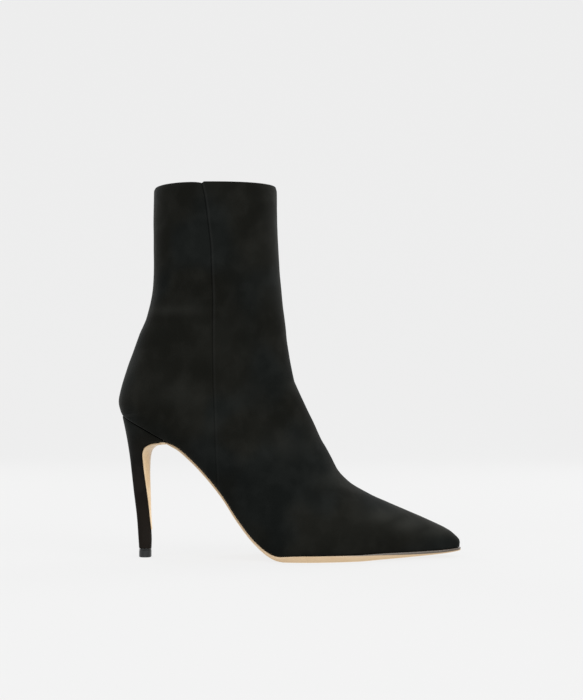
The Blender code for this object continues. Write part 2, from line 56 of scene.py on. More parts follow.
# The outsole: its edge and how far it stands out, its rows, its flap on the heel's breast, and its rounded toe
outsolePiece = {
    "edge": 0.0043, "reach": 0.0006, "across": 26, "rowSpacing": 0.0024, "searchSpacing": 0.002,
    "flapEdge": 0.0011, "flapSkive": 0.35, "flapBottom": 1.35, "flapRows": 60, "frontOfSeat": 0.0022,
    "bulge": 0.00028, "bulgeShare": 0.22, "toeBack": 0.1, "toeShare": 0.6, "toeRound": 0.0006,
}
heelPiece = {
    "seatDepth": 0.033, "tipDepth": 0.0087, "tipWidth": 0.0090, "ringSteps": 6, "points": 72,
    "footEase": 0.0003, "firstRow": 0.02,
}
# The wearing tip: its groove is at shares of its height
tipPiece = {
    "height": 0.0060, "bevel": 0.0007, "bevelShare": 0.3, "topEase": 0.0002,
    "groove": 0.00025, "grooveLow": 0.80, "grooveDeepLow": 0.83, "grooveDeepHigh": 0.88, "grooveHigh": 0.91,
}
clearance = 0.0003
soleProbe = 0.0005
rowProbe = 0.01
breastProbe = 0.02
sharpAngle = math.radians(40)

# Rows of sections as shares of the sizes above, as in the solids: the shaft, the foot, the sole and the heel
LegRow = namedtuple("LegRow", "backX backBody backShaft frontX frontBody frontShaft wide widest low high")
legRows = [
    LegRow(-0.399, 0.717, 1.000, -0.038, 0.717, 1.000, 0.500, 0.50, 2.1, 2.3),
    LegRow(-0.400, 0.717, 0.838, -0.038, 0.717, 0.838, 0.494, 0.50, 2.1, 2.3),
    LegRow(-0.399, 0.717, 0.625, -0.034, 0.717, 0.630, 0.483, 0.50, 2.1, 2.3),
    LegRow(-0.401, 0.717, 0.410, -0.027, 0.717, 0.430, 0.467, 0.50, 2.1, 2.2),
    LegRow(-0.416, 0.717, 0.245, -0.020, 0.717, 0.290, 0.453, 0.49, 2.1, 2.2),
    LegRow(-0.441, 0.717, 0.120, -0.013, 0.717, 0.175, 0.442, 0.46, 2.1, 2.15),
    LegRow(-0.462, 0.708, 0.000, -0.008, 0.717, 0.080, 0.433, 0.43, 2.1, 2.10),
    LegRow(-0.482, 0.483, 0.000, -0.002, 0.717, 0.000, 0.431, 0.40, 2.1, 2.05),
    LegRow(-0.496, 0.292, 0.000, 0.003, 0.600, 0.000, 0.433, 0.37, 2.1, 2.00),
    LegRow(-0.501, 0.167, 0.000, 0.007, 0.517, 0.000, 0.436, 0.35, 2.1, 1.96),
    LegRow(-0.497, 0.075, 0.000, 0.011, 0.455, 0.000, 0.438, 0.33, 2.1, 1.93),
    LegRow(-0.490, 0.007, 0.000, 0.014, 0.403, 0.000, 0.439, 0.32, 2.1, 1.90),
]
FootRow = namedtuple(
    "FootRow", "soleX frontX frontLift frontBody wideOut wideIn soleOut soleIn swing widest low high"
)
footRows = [
    FootRow(-0.4810, 0.0175, 1.00, 0.367, 0.385, 0.385, 0.116, 0.116, 0.000, 0.31, 2.0, 1.88),
    FootRow(-0.4625, 0.0210, 1.00, 0.330, 0.384, 0.384, 0.198, 0.198, 0.000, 0.30, 2.0, 1.86),
    FootRow(-0.4330, 0.0255, 1.00, 0.290, 0.381, 0.381, 0.260, 0.260, 0.000, 0.29, 2.0, 1.84),
    FootRow(-0.3920, 0.0320, 0.95, 0.317, 0.378, 0.378, 0.286, 0.286, 0.000, 0.29, 2.0, 1.82),
    FootRow(-0.3500, 0.0390, 0.88, 0.375, 0.372, 0.370, 0.281, 0.279, 0.000, 0.28, 2.0, 1.80),
    FootRow(-0.3040, 0.0480, 0.79, 0.450, 0.366, 0.360, 0.264, 0.252, 0.000, 0.28, 2.0, 1.78),
    FootRow(-0.2580, 0.0585, 0.69, 0.528, 0.364, 0.352, 0.252, 0.228, 0.000, 0.28, 2.0, 1.77),
    FootRow(-0.2080, 0.0710, 0.57, 0.620, 0.370, 0.350, 0.258, 0.218, 0.000, 0.28, 2.0, 1.76),
    FootRow(-0.1580, 0.0850, 0.44, 0.713, 0.388, 0.362, 0.288, 0.238, 0.000, 0.27, 2.0, 1.75),
    FootRow(-0.1080, 0.1020, 0.31, 0.800, 0.420, 0.395, 0.338, 0.292, 0.000, 0.27, 2.0, 1.75),
    FootRow(-0.0580, 0.1215, 0.19, 0.852, 0.460, 0.440, 0.398, 0.362, 0.000, 0.27, 2.0, 1.75),
    FootRow(-0.0080, 0.1450, 0.09, 0.853, 0.490, 0.478, 0.440, 0.422, 0.000, 0.28, 2.0, 1.76),
    FootRow(0.0500, 0.1810, 0.03, 0.809, 0.500, 0.495, 0.460, 0.450, 0.000, 0.29, 2.0, 1.78),
    FootRow(0.1170, 0.2320, 0.00, 0.743, 0.475, 0.480, 0.445, 0.447, 0.010, 0.30, 2.0, 1.82),
    FootRow(0.1920, 0.2880, 0.00, 0.640, 0.412, 0.425, 0.390, 0.400, 0.020, 0.31, 2.0, 1.9),
    FootRow(0.2670, 0.3420, 0.00, 0.544, 0.338, 0.350, 0.320, 0.332, 0.034, 0.33, 2.0, 2.0),
    FootRow(0.3420, 0.3940, 0.00, 0.454, 0.262, 0.268, 0.247, 0.253, 0.046, 0.35, 2.0, 2.0),
    FootRow(0.4080, 0.4400, 0.00, 0.371, 0.190, 0.190, 0.178, 0.178, 0.055, 0.38, 2.0, 2.0),
    FootRow(0.4540, 0.4700, 0.00, 0.305, 0.134, 0.132, 0.126, 0.124, 0.060, 0.40, 2.0, 2.0),
    FootRow(0.4830, 0.4885, 0.00, 0.243, 0.082, 0.080, 0.076, 0.074, 0.062, 0.42, 2.0, 2.0),
    FootRow(0.4950, 0.4975, 0.00, 0.203, 0.044, 0.042, 0.040, 0.038, 0.063, 0.45, 2.0, 2.0),
    FootRow(0.4995, 0.5003, 0.00, 0.165, 0.000, 0.000, 0.000, 0.000, 0.063, 0.50, 2.0, 2.0),
]
SoleRow = namedtuple("SoleRow", "x rise spring thickness reach")
soleRows = [
    SoleRow(-0.352, 0.795, 0.00, 0.43, -2.0),
    SoleRow(-0.333, 0.777, 0.00, 0.39, -2.0),
    SoleRow(-0.288, 0.687, 0.00, 0.355, -2.0),
    SoleRow(-0.242, 0.569, 0.00, 0.335, -1.8),
    SoleRow(-0.196, 0.430, 0.00, 0.335, -1.5),
    SoleRow(-0.150, 0.261, 0.00, 0.35, -1.0),
    SoleRow(-0.104, 0.123, 0.00, 0.40, -0.4),
    SoleRow(-0.058, 0.031, 0.00, 0.54, 0.2),
    SoleRow(-0.037, 0.008, 0.00, 0.69, 0.6),
    SoleRow(-0.016, 0.000, 0.00, 0.86, 1.0),
    SoleRow(0.050, 0.000, 0.00, 1.00, 1.0),
    SoleRow(0.187, 0.000, 0.00, 1.00, 1.0),
    SoleRow(0.258, 0.000, 0.16, 0.95, 1.0),
    SoleRow(0.358, 0.000, 0.42, 0.75, 1.0),
    SoleRow(0.450, 0.000, 0.72, 0.56, 1.0),
    SoleRow(0.500, 0.000, 1.00, 0.46, 1.0),
]
HeelRow = namedtuple("HeelRow", "backX backLift drop flare spread widest backPower frontPower flap")
heelRows = [
    HeelRow(-0.4404, 0.000, 0.000, 0.000, 0.000, 0.50, 2.1, 2.3, 0.30),
    HeelRow(-0.4430, 0.092, 0.000, 0.030, 0.000, 0.50, 2.1, 2.3, 0.34),
    HeelRow(-0.4475, 0.245, 0.000, 0.034, 0.000, 0.50, 2.1, 2.2, 0.52),
    HeelRow(-0.4560, 0.420, 0.007, 0.096, 0.030, 0.50, 2.1, 2.0, 0.72),
    HeelRow(-0.4630, 0.579, 0.025, 0.146, 0.110, 0.50, 2.1, 2.0, 0.85),
    HeelRow(-0.4675, 0.681, 0.034, 0.190, 0.250, 0.52, 2.1, 2.0, 0.90),
    HeelRow(-0.4730, 0.779, 0.071, 0.260, 0.450, 0.55, 2.1, 2.1, 0.92),
    HeelRow(-0.4785, 0.860, 0.102, 0.366, 0.660, 0.60, 2.0, 2.4, 0.88),
    HeelRow(-0.4840, 0.9295, 0.135, 0.564, 0.845, 0.65, 2.0, 3.2, 0.82),
    HeelRow(-0.4882, 0.9785, 0.169, 0.807, 0.955, 0.68, 2.0, 5.0, 0.85),
    HeelRow(-0.4896, 1.000, 0.184, 1.000, 1.000, 0.70, 2.0, 8.0, 0.88),
]
# The side seam in the side view, from the collar down to the sole: shares of the length and of the height
seamLine = [(1.00, -0.252), (0.965, -0.243), (0.927, -0.237), (0.83, -0.225), (0.69, -0.220), (0.57, -0.221),
            (0.46, -0.219), (0.40, -0.216), (0.30, -0.213), (0.15, -0.206)]
# Soft folds, given one by one: ends as shares of the length and height, width and depth in metres
# A depth below zero is a trough
Fold = namedtuple("Fold", "startX startZ endX endZ width depth")
softFolds = [
    Fold(-0.430, 0.650, -0.290, 0.668, 0.0050, 0.00045),
    Fold(-0.430, 0.628, -0.320, 0.640, 0.0050, -0.00060),
    Fold(0.012, 0.482, -0.080, 0.462, 0.0045, -0.00075),
    Fold(0.030, 0.450, -0.060, 0.425, 0.0055, 0.00045),
    Fold(-0.030, 0.275, 0.025, 0.208, 0.0042, 0.00060),
    Fold(0.025, 0.208, 0.115, 0.180, 0.0045, 0.00055),
    Fold(0.140, 0.235, 0.060, 0.222, 0.0045, -0.00070),
    Fold(0.105, 0.315, 0.035, 0.300, 0.0050, -0.00045),
    Fold(-0.460, 0.520, -0.370, 0.505, 0.0060, 0.00040),
    Fold(-0.330, 0.445, -0.250, 0.430, 0.0070, 0.00035),
]


# A smooth cubic through values at places; level keeps level stretches level
def hermite(places, values, at, level):
    count = len(places) - 1
    i = min(max(int(np.searchsorted(places, at, side="right")) - 1, 0), count - 1)

    def slope(k):
        before = (values[k] - values[k - 1]) / (places[k] - places[k - 1]) if k > 0 else None
        after = (values[k + 1] - values[k]) / (places[k + 1] - places[k]) if k < count else None
        if before is None or after is None:
            return after if before is None else before
        one = places[k + 1] - places[k]
        two = places[k] - places[k - 1]
        if not level:
            return (before * one + after * two) / (one + two)
        if before * after <= 0:
            return 0.0
        return 3 * (one + two) / ((2 * one + two) / before + (one + 2 * two) / after)

    step = places[i + 1] - places[i]
    u = min(max((at - places[i]) / step, 0.0), 1.0)
    start = (1 + 2 * u) * (1 - u) ** 2 * values[i] + u * (1 - u) ** 2 * step * slope(i)
    return start + u * u * (3 - 2 * u) * values[i + 1] - u * u * (1 - u) * step * slope(i + 1)


def rowValue(values, at):
    return hermite(range(len(values)), values, at, False)


def heelValue(name, at):
    return rowValue([getattr(row, name) for row in heelRows], at)


def soleValue(name, x):
    places = [row.x for row in soleRows]
    return hermite(places, [getattr(row, name) for row in soleRows], x / last["length"], True)


def sideNormal(before, after):
    along = (after - before).normalized()
    return Vector((-along.z, 0.0, along.x))


def heelBack(at):
    foot = tipPiece["height"] + clearance
    lift = foot + heelValue("backLift", at) * (last["heelHeight"] - foot)
    return Vector((heelValue("backX", at) * last["length"], 0.0, lift))


def heelFront(at):
    depth = heelPiece["tipDepth"] + heelValue("flare", at) * (heelPiece["seatDepth"] - heelPiece["tipDepth"])
    return heelBack(at) + Vector((depth, 0.0, -heelValue("drop", at) * last["heelHeight"]))


def heelHalf(at):
    seat = max(row.soleOut for row in footRows[:5]) * last["ballWidth"]
    return heelPiece["tipWidth"] / 2 + heelValue("spread", at) * (seat - heelPiece["tipWidth"] / 2)


def breastPoint(at, across):
    power = heelValue("frontPower", at)
    share = abs(across) * heelValue("flap", at)
    inset = (1 - heelValue("widest", at)) * (1 - (1 - share ** power) ** (1 / power))
    point = heelFront(at) + (heelBack(at) - heelFront(at)) * inset
    return point + Vector((0.0, math.copysign(share, across) * heelHalf(at), 0.0))


def solePoint(x):
    rise = soleValue("rise", x) * last["heelHeight"] + soleValue("spring", x) * last["toeSpring"]
    return Vector((x, 0.0, rise))


def soleLift(x, height):
    return solePoint(x) + sideNormal(solePoint(x - soleProbe), solePoint(x + soleProbe)) * height


def soleThickness(x):
    return soleValue("thickness", x) * outsolePiece["edge"]


seatRow = len(heelRows) - 1
seatBack = heelBack(seatRow)
seatFront = heelFront(seatRow)
seatNormal = sideNormal(seatBack, seatFront)


# The line the upper stands on: the heel's seat, then the outsole
def lastBottom(x, height=0.0):
    if x > seatFront.x + clearance:
        return soleLift(x, soleThickness(x) + clearance + height)
    along = (x - seatBack.x) / (seatFront.x - seatBack.x)
    return seatBack + (seatFront - seatBack) * along + seatNormal * (clearance + height)


# The rings' lines over the whole upper, collar to toe
length, width, instep = last["length"], last["ballWidth"], last["instepHeight"]
heelHeight, shaft = last["heelHeight"], last["shaftHeight"]
collarHeight = heelHeight + instep * legRows[0].frontBody + shaft
legEnd = len(legRows) - 1
lastRing = len(legRows) + len(footRows) - 1
ringLines = {
    "backX": [r.backX * length for r in legRows] + [r.soleX * length for r in footRows],
    "backZ": [heelHeight + r.backBody * instep + r.backShaft * shaft for r in legRows]
    + [lastBottom(r.soleX * length).z for r in footRows],
    "frontX": [r.frontX * length for r in legRows + footRows],
    "frontZ": [heelHeight + r.frontBody * instep + r.frontShaft * shaft for r in legRows]
    + [r.frontLift * heelHeight + r.frontBody * instep for r in footRows],
    "wideOut": [r.wide * last["shaftWidth"] for r in legRows] + [r.wideOut * width for r in footRows],
    "wideIn": [r.wide * last["shaftWidth"] for r in legRows] + [r.wideIn * width for r in footRows],
    "swing": [0.0 for r in legRows] + [r.swing * width for r in footRows],
    "widest": [r.widest for r in legRows + footRows],
    "low": [r.low for r in legRows + footRows],
    "high": [r.high for r in legRows + footRows],
}
footLines = {
    "soleX": [legRows[-1].backX * length] + [r.soleX * length for r in footRows],
    "soleOut": [0.0] + [r.soleOut * width for r in footRows],
    "soleIn": [0.0] + [r.soleIn * width for r in footRows],
    "swing": [0.0] + [r.swing * width for r in footRows],
}


def ringValue(name, at):
    return rowValue(ringLines[name], at)


def footValue(name, at):
    return rowValue(footLines[name], at - legEnd)


def backPoint(at):
    if at <= legEnd:
        return Vector((ringValue("backX", at), 0.0, ringValue("backZ", at)))
    return lastBottom(footValue("soleX", at))


def soleHalf(at, side):
    return 0.0 if at <= legEnd else footValue("soleOut" if side < 0 else "soleIn", at)


# Points at even distances along a finer line, as an array
def evenPoints(points, steps):
    points = np.asarray(points)
    reach = np.concatenate(([0.0], np.cumsum(np.linalg.norm(np.diff(points, axis=0), axis=1))))
    wanted = np.linspace(0.0, reach[-1], steps + 1)
    return np.stack([np.interp(wanted, reach, points[:, axis]) for axis in range(3)], axis=1)


# One side of a ring: two quarter ovals that meet at the widest share
def ovalHalf(back, front, openHalf, wide, widest, low, high, side, fineSteps=400):
    turn = np.linspace(0.0, math.pi, fineSteps + 1)
    rising = turn < math.pi / 2
    cosine, sine = np.abs(np.cos(turn)), np.abs(np.sin(turn))
    share = np.where(rising, widest * (1 - cosine ** low), widest + (1 - widest) * cosine ** high)
    half = np.where(rising, openHalf + (wide - openHalf) * sine ** low, wide * sine ** high)
    back, front = np.array(back), np.array(front)
    line = back + np.outer(share, front - back)
    line[:, 1] += side * half
    return line


def upperRing(at, halfSteps):
    back = backPoint(at)
    front = Vector((ringValue("frontX", at), 0.0, ringValue("frontZ", at)))
    sides = []
    for side in (-1, 1):
        line = ovalHalf(
            back, front, soleHalf(at, side), ringValue("wideOut" if side < 0 else "wideIn", at),
            ringValue("widest", at), 2 / ringValue("low", at), 2 / ringValue("high", at), side,
        )
        line[:, 1] += ringValue("swing", at)
        sides.append(evenPoints(line, halfSteps))
    return np.concatenate((sides[0], sides[1][-2::-1]))


def ringPlaces(spacing):
    places = [0.0]
    for row in range(lastRing):
        back = (backPoint(row + 1) - backPoint(row)).length
        front = math.hypot(ringValue("frontX", row + 1) - ringValue("frontX", row),
                           ringValue("frontZ", row + 1) - ringValue("frontZ", row))
        steps = max(2, round(max(back, front) / spacing))
        places += [row + k / steps for k in range(1, steps + 1)]
    return places


# Faces between rows of corner numbers, leaving out those shrunk to a line
def gridFaces(rows):
    faces = []
    for before, after in zip(rows, rows[1:]):
        for k in range(len(before) - 1):
            corners = tuple(dict.fromkeys((before[k], before[k + 1], after[k + 1], after[k])))
            if len(corners) > 2:
                faces.append(corners)
    return faces


# A closed mesh object facing out, riding on the bootie
def closedPiece(name, points, faces, materials, materialOf=None):
    mesh = bpy.data.meshes.new(name)
    mesh.from_pydata([tuple(point) for point in points], [], faces)
    mesh.validate()
    for material in materials:
        mesh.materials.append(material)
    if materialOf is not None:
        mesh.polygons.foreach_set("material_index", materialOf)
    bm = bmesh.new()
    bm.from_mesh(mesh)
    bmesh.ops.recalc_face_normals(bm, faces=bm.faces[:])
    if bm.calc_volume(signed=True) < 0:
        bmesh.ops.reverse_faces(bm, faces=bm.faces[:])
    bm.to_mesh(mesh)
    bm.free()
    mesh.shade_smooth()
    mesh.set_sharp_from_angle(angle=sharpAngle)
    piece = bpy.data.objects.new(name, mesh)
    bpy.context.scene.collection.objects.link(piece)
    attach(piece, "root")
    return piece


# A closed piece through loops of points, with a face over each end, and its rows of corner numbers
def tubePiece(name, loops, material):
    points, rows = [], []
    for loop in loops:
        start = len(points)
        points += list(loop)
        rows.append(list(range(start, start + len(loop))) + [start])
    faces = gridFaces(rows) + [tuple(rows[0][:-1]), tuple(reversed(rows[-1][:-1]))]
    return closedPiece(name, points, faces, (material,)), rows


# Painted highlights: paler spots on the suede where light catches its ridges and folds; middle and half sizes
# as shares of the length and height
HighlightSpot = namedtuple("HighlightSpot", "x z longway upright strength")
highlightSpots = [
    HighlightSpot(0.270, 0.118, 0.050, 0.018, 0.9),
    HighlightSpot(0.345, 0.094, 0.055, 0.018, 1.0),
    HighlightSpot(0.420, 0.071, 0.045, 0.016, 0.6),
    HighlightSpot(0.130, 0.215, 0.060, 0.022, 0.5),
    HighlightSpot(-0.010, 0.300, 0.050, 0.035, 0.4),
    HighlightSpot(-0.330, 0.664, 0.090, 0.014, 0.5),
    HighlightSpot(-0.225, 0.360, 0.060, 0.020, 0.25),
    HighlightSpot(-0.325, 0.440, 0.060, 0.030, 0.35),
    HighlightSpot(0.020, 0.465, 0.035, 0.022, 0.5),
    HighlightSpot(-0.455, 0.520, 0.035, 0.060, 0.4),
]


def highlightShare(points):
    total = np.zeros(len(points))
    for spot in highlightSpots:
        along = (points[:, 0] / length - spot.x) / spot.longway
        upright = (points[:, 2] / collarHeight - spot.z) / spot.upright
        total = np.maximum(total, spot.strength * np.exp(-along ** 2 - upright ** 2))
    return total


# A number on each point, for a material to read
def pointMark(piece, name, values):
    mark = piece.data.attributes.new(name, "FLOAT", "POINT")
    mark.data.foreach_set("value", np.asarray(values, dtype=np.float32))


# Where the side seam is at a height, in metres
def seamX(z):
    heights = [row[0] for row in seamLine][::-1]
    places = [row[1] for row in seamLine][::-1]
    return np.interp(z / collarHeight, heights, places) * length


# The folds' ends as a share of their length, and how bluntly they fade out
foldEnds = 0.04
foldFade = 0.7


# How far the soft folds raise or sink each point
def foldLift(points):
    lift = np.zeros(len(points))
    for fold in softFolds:
        start = np.array((fold.startX * length, fold.startZ * collarHeight))
        along = np.array((fold.endX * length, fold.endZ * collarHeight)) - start
        offset = points[:, (0, 2)] - start
        share = np.clip(offset @ along / (along @ along), 0, 1)
        gap = np.linalg.norm(offset - np.outer(share, along), axis=1)
        fade = np.sin(np.pi * np.clip(share, foldEnds, 1 - foldEnds)) ** foldFade
        lift += fold.depth * fade * np.exp(-(gap / fold.width) ** 2)
    return lift


# Broad and small waves of handled suede: waves in a metre, and share
handling = ((38.0, 0.65), (95.0, 0.35))


# The uneven surface that handling and lasting leave in soft suede
def handleLift(points):
    lift = [sum(share * noise.noise(Vector(point) * waves) for waves, share in handling) for point in points]
    return np.array(lift) * upperPiece["unevenness"]


print("tables ready")


# A node's output, so that shader maths reads as plain arithmetic
class Wire:
    def __init__(self, tree, socket):
        self.tree = tree
        self.socket = socket

    def math(self, operation, *others):
        node = self.tree.nodes.new("ShaderNodeMath")
        node.operation = operation
        for k, value in enumerate((self,) + others):
            if isinstance(value, Wire):
                self.tree.links.new(value.socket, node.inputs[k])
            else:
                node.inputs[k].default_value = value
        return Wire(self.tree, node.outputs[0])

    def __add__(self, other):
        return self.math("ADD", other)

    def __sub__(self, other):
        return self.math("SUBTRACT", other)

    def __rsub__(self, other):
        return (self * -1.0) + other

    def __mul__(self, other):
        return self.math("MULTIPLY", other)

    def size(self):
        return self.math("ABSOLUTE")

    # 0 below low, 1 above high, smooth between
    def step(self, low, high):
        node = self.tree.nodes.new("ShaderNodeMapRange")
        node.interpolation_type = "SMOOTHSTEP"
        self.tree.links.new(self.socket, node.inputs["Value"])
        node.inputs["From Min"].default_value = low
        node.inputs["From Max"].default_value = high
        return Wire(self.tree, node.outputs["Result"])


# A material under construction: its shader, and nodes asked for by type
class Look:
    def __init__(self, name, **constants):
        self.material = bpy.data.materials.new(name)
        self.material.use_nodes = True
        self.tree = self.material.node_tree
        self.shader = self.tree.nodes["Principled BSDF"]
        for socket, value in constants.items():
            self.shader.inputs[socket.replace("_", " ")].default_value = value
        self.place = self.node("ShaderNodeTexCoord").outputs["Object"]

    def node(self, kind, settings=None, **inputs):
        node = self.tree.nodes.new(kind)
        for key, value in (settings or {}).items():
            setattr(node, key, value)
        for key, value in inputs.items():
            socket = node.inputs[key.replace("_", " ")]
            if isinstance(value, Wire):
                self.tree.links.new(value.socket, socket)
            elif isinstance(value, bpy.types.NodeSocket):
                self.tree.links.new(value, socket)
            else:
                socket.default_value = value
        return node

    def noise(self, scale, detail=2.0, stretch=(1.0, 1.0, 1.0)):
        mapping = self.node("ShaderNodeMapping", Vector=self.place, Scale=stretch)
        made = self.node("ShaderNodeTexNoise", Vector=mapping.outputs[0], Scale=scale, Detail=detail)
        return Wire(self.tree, made.outputs["Fac"])

    def attribute(self, name):
        made = self.node("ShaderNodeAttribute", {"attribute_name": name})
        return Wire(self.tree, made.outputs["Fac"])

    def axis(self, name):
        split = self.node("ShaderNodeSeparateXYZ", Vector=self.place)
        return Wire(self.tree, split.outputs[name])

    # A colour between two, each a triple or a colour already made
    def blend(self, share, first, second):
        node = self.tree.nodes.new("ShaderNodeMix")
        node.data_type = "RGBA"
        self.tree.links.new(share.socket, node.inputs[0])
        for k, colour in ((6, first), (7, second)):
            if isinstance(colour, bpy.types.NodeSocket):
                self.tree.links.new(colour, node.inputs[k])
            else:
                node.inputs[k].default_value = (*colour, 1.0)
        return node.outputs[2]

    def put(self, name, value):
        self.tree.links.new(value.socket if isinstance(value, Wire) else value, self.shader.inputs[name])

    # A dull shadow colour laid over the shader by a share, as in a gap
    def cover(self, share, colour):
        shadow = self.node("ShaderNodeBsdfDiffuse", Color=(*colour, 1.0))
        mix = self.node("ShaderNodeMixShader", Fac=share)
        self.tree.links.new(self.shader.outputs[0], mix.inputs[1])
        self.tree.links.new(shadow.outputs[0], mix.inputs[2])
        self.tree.links.new(mix.outputs[0], self.tree.nodes["Material Output"].inputs["Surface"])

    def bump(self, height, strength, distance):
        made = self.node("ShaderNodeBump", Height=height, Strength=strength, Distance=distance)
        self.put("Normal", made.outputs["Normal"])


# Black suede in its laid and raised nap, each from cool to warm
# Low on the heel it is a little paler and browner
suedeTones = {"deepCool": (0.0032, 0.0039, 0.0036), "deepWarm": (0.0039, 0.0040, 0.0030),
              "raisedCool": (0.0078, 0.0089, 0.0083), "raisedWarm": (0.0092, 0.0093, 0.0077)}
heelTones = {"deepCool": (0.0066, 0.0056, 0.0050), "deepWarm": (0.0072, 0.0056, 0.0044),
             "raisedCool": (0.0130, 0.0110, 0.0098), "raisedWarm": (0.0140, 0.0112, 0.0090)}
# The "brushed" colour is a painted highlight, laid on at the highlight spots
suedeMarks = {"brushed": (0.0215, 0.0220, 0.0195), "seamEdge": (0.020, 0.021, 0.020),
              # The "gap" colour is a painted shadow, laid where parts meet and along the seam line
              "gap": (0.0012, 0.0012, 0.0012)}
# Heights between which one look passes into the next, and distances from the side seam, in metres
suedePlaces = {"heelLow": 0.050, "heelHigh": 0.092, "seamFaint": 0.080, "seamStrong": 0.200,
               "lineEnd": 0.00010, "lineFade": 0.00050,
               "edgeStart": (0.0004, 0.0009), "edgeEnd": (0.0011, 0.0026)}
# Waves in a metre of each uneven thing in the suede
suedeScales = {"patches": 30.0, "brushed": 88.0, "fibres": 2600.0, "speckle": 900.0, "warmth": 22.0}


# Black napped suede: brushed patches, short fibres, and the closed side seam
def suedeLook(name, withSeam):
    look = Look(name, Sheen_Weight=0.055, Sheen_Roughness=0.34, Sheen_Tint=(0.86, 0.88, 0.84, 1.0),
                Specular_IOR_Level=0.05)
    patches = look.noise(suedeScales["patches"], 2.0, (1.0, 1.0, 0.85)).step(0.40, 0.64)
    brushed = look.noise(suedeScales["brushed"], 3.0, (0.9, 1.0, 0.8)).step(0.42, 0.68)
    fibres = look.noise(suedeScales["fibres"], 2.0)
    speckle = look.noise(suedeScales["speckle"], 3.0)
    warmth = look.noise(suedeScales["warmth"], 1.0).step(0.42, 0.60)
    share = patches * 0.44 + brushed * 0.30 + fibres * 0.22

    def nap(tones):
        laid = look.blend(warmth, tones["deepCool"], tones["deepWarm"])
        raised = look.blend(warmth, tones["raisedCool"], tones["raisedWarm"])
        return look.blend(share, laid, raised)

    colour = nap(suedeTones)
    height = fibres * 0.30 + speckle * 0.50 + brushed * 0.35
    rough = brushed * -0.07 + 0.96
    # The groove mark paints shade where the upper meets the sole and the heel's seat
    groove = look.attribute("groove")
    if withSeam:
        gap = look.attribute("seam")
        # Painted highlight: the suede pales towards the "brushed" colour at the highlight spots
        paintedHighlight = look.attribute("paintedHighlight")
        colour = look.blend(paintedHighlight * 0.55, colour, suedeMarks["brushed"])
        strong = look.axis("Z").step(suedePlaces["seamFaint"], suedePlaces["seamStrong"]) * 0.55 + 0.45
        line = (1.0 - gap.size().step(suedePlaces["lineEnd"], suedePlaces["lineFade"])) * strong
        edge = (gap.step(*suedePlaces["edgeStart"]) - gap.step(*suedePlaces["edgeEnd"])) * strong
        colour = look.blend(edge * 0.20, colour, suedeMarks["seamEdge"])
        height = height + line * -2.0 + edge * 0.7
        # The seam line takes half the painted shadow: a dark seam joint, partly painted shade in its groove
        groove = groove.math("MAXIMUM", line * 0.50)
    else:
        high = look.axis("Z").step(suedePlaces["heelLow"], suedePlaces["heelHigh"])
        colour = look.blend(high, nap(heelTones), colour)
    look.put("Base Color", colour)
    look.put("Roughness", rough)
    look.bump(height, 0.75, 0.00016)
    look.cover(groove, suedeMarks["gap"])
    return look.material


soleTones = {"tan": (0.630, 0.462, 0.280), "pale": (0.725, 0.565, 0.370), "edge": (0.380, 0.265, 0.155),
             "grain": (0.50, 0.305, 0.155), "darkLine": (0.030, 0.024, 0.021)}
soleScales = {"mottle": 60.0, "grain": 1500.0, "layers": 900.0}
# The dark upper line of the edge begins and is full at these distances along the bootie, in metres
darkLineAlong = (0.020, 0.116)


# Natural leather whose edge is dark along its upper line towards the toe
def soleLook():
    look = Look("soleLeather", Specular_IOR_Level=0.45, Coat_Roughness=0.25)
    mottle = look.noise(soleScales["mottle"], 4.0)
    grain = look.noise(soleScales["grain"], 3.0, (0.35, 1.0, 1.0))
    layers = look.noise(soleScales["layers"], 2.0, (0.05, 0.05, 1.0))
    edgeSide = look.attribute("edgeSide")
    colour = look.blend(mottle.step(0.3, 0.7), soleTones["tan"], soleTones["pale"])
    colour = look.blend(edgeSide * 0.75, colour, soleTones["edge"])
    colour = look.blend(grain.step(0.55, 0.8) * 0.25, colour, soleTones["grain"])
    rise = look.attribute("edgeHeight") + look.axis("X").step(*darkLineAlong) * 0.72
    # The edge is darkened along its upper line, in a band that widens towards the toe
    colour = look.blend(rise.step(0.93, 1.12) * edgeSide * 0.92, colour, soleTones["darkLine"])
    look.put("Base Color", colour)
    look.put("Roughness", mottle * 0.16 + 0.34)
    look.put("Coat Weight", layers * 0.25)
    look.bump(grain * 0.6 + layers * 0.4, 0.35, 0.00012)
    return look.material


liningTones = {"tan": (0.50, 0.33, 0.215), "pale": (0.60, 0.42, 0.285)}
liningScales = {"tone": 45.0, "pores": 1900.0}


# Smooth lining leather in a warm tan
def liningLook():
    look = Look("liningLeather", Specular_IOR_Level=0.35)
    tone = look.noise(liningScales["tone"], 3.0)
    pores = look.noise(liningScales["pores"], 2.0)
    look.put("Base Color", look.blend(tone.step(0.3, 0.7), liningTones["tan"], liningTones["pale"]))
    look.put("Roughness", tone * 0.15 + 0.48)
    look.bump(pores, 0.3, 0.0001)
    return look.material


tipTones = {"black": (0.006, 0.007, 0.007), "scuffed": (0.016, 0.017, 0.017)}
tipScuffs = 700.0


# Hard black plastic of the wearing tip, lightly scuffed
def tipLook():
    look = Look("tipBlack", Specular_IOR_Level=0.35, Coat_Roughness=0.12)
    scuffs = look.noise(tipScuffs, 4.0, (1.0, 1.0, 0.2))
    look.put("Base Color", look.blend(scuffs.step(0.5, 0.75), tipTones["black"], tipTones["scuffed"]))
    look.put("Roughness", scuffs * 0.25 + 0.20)
    look.put("Coat Weight", scuffs.step(0.3, 0.6) * 0.25)
    look.bump(scuffs, 0.2, 0.0001)
    return look.material


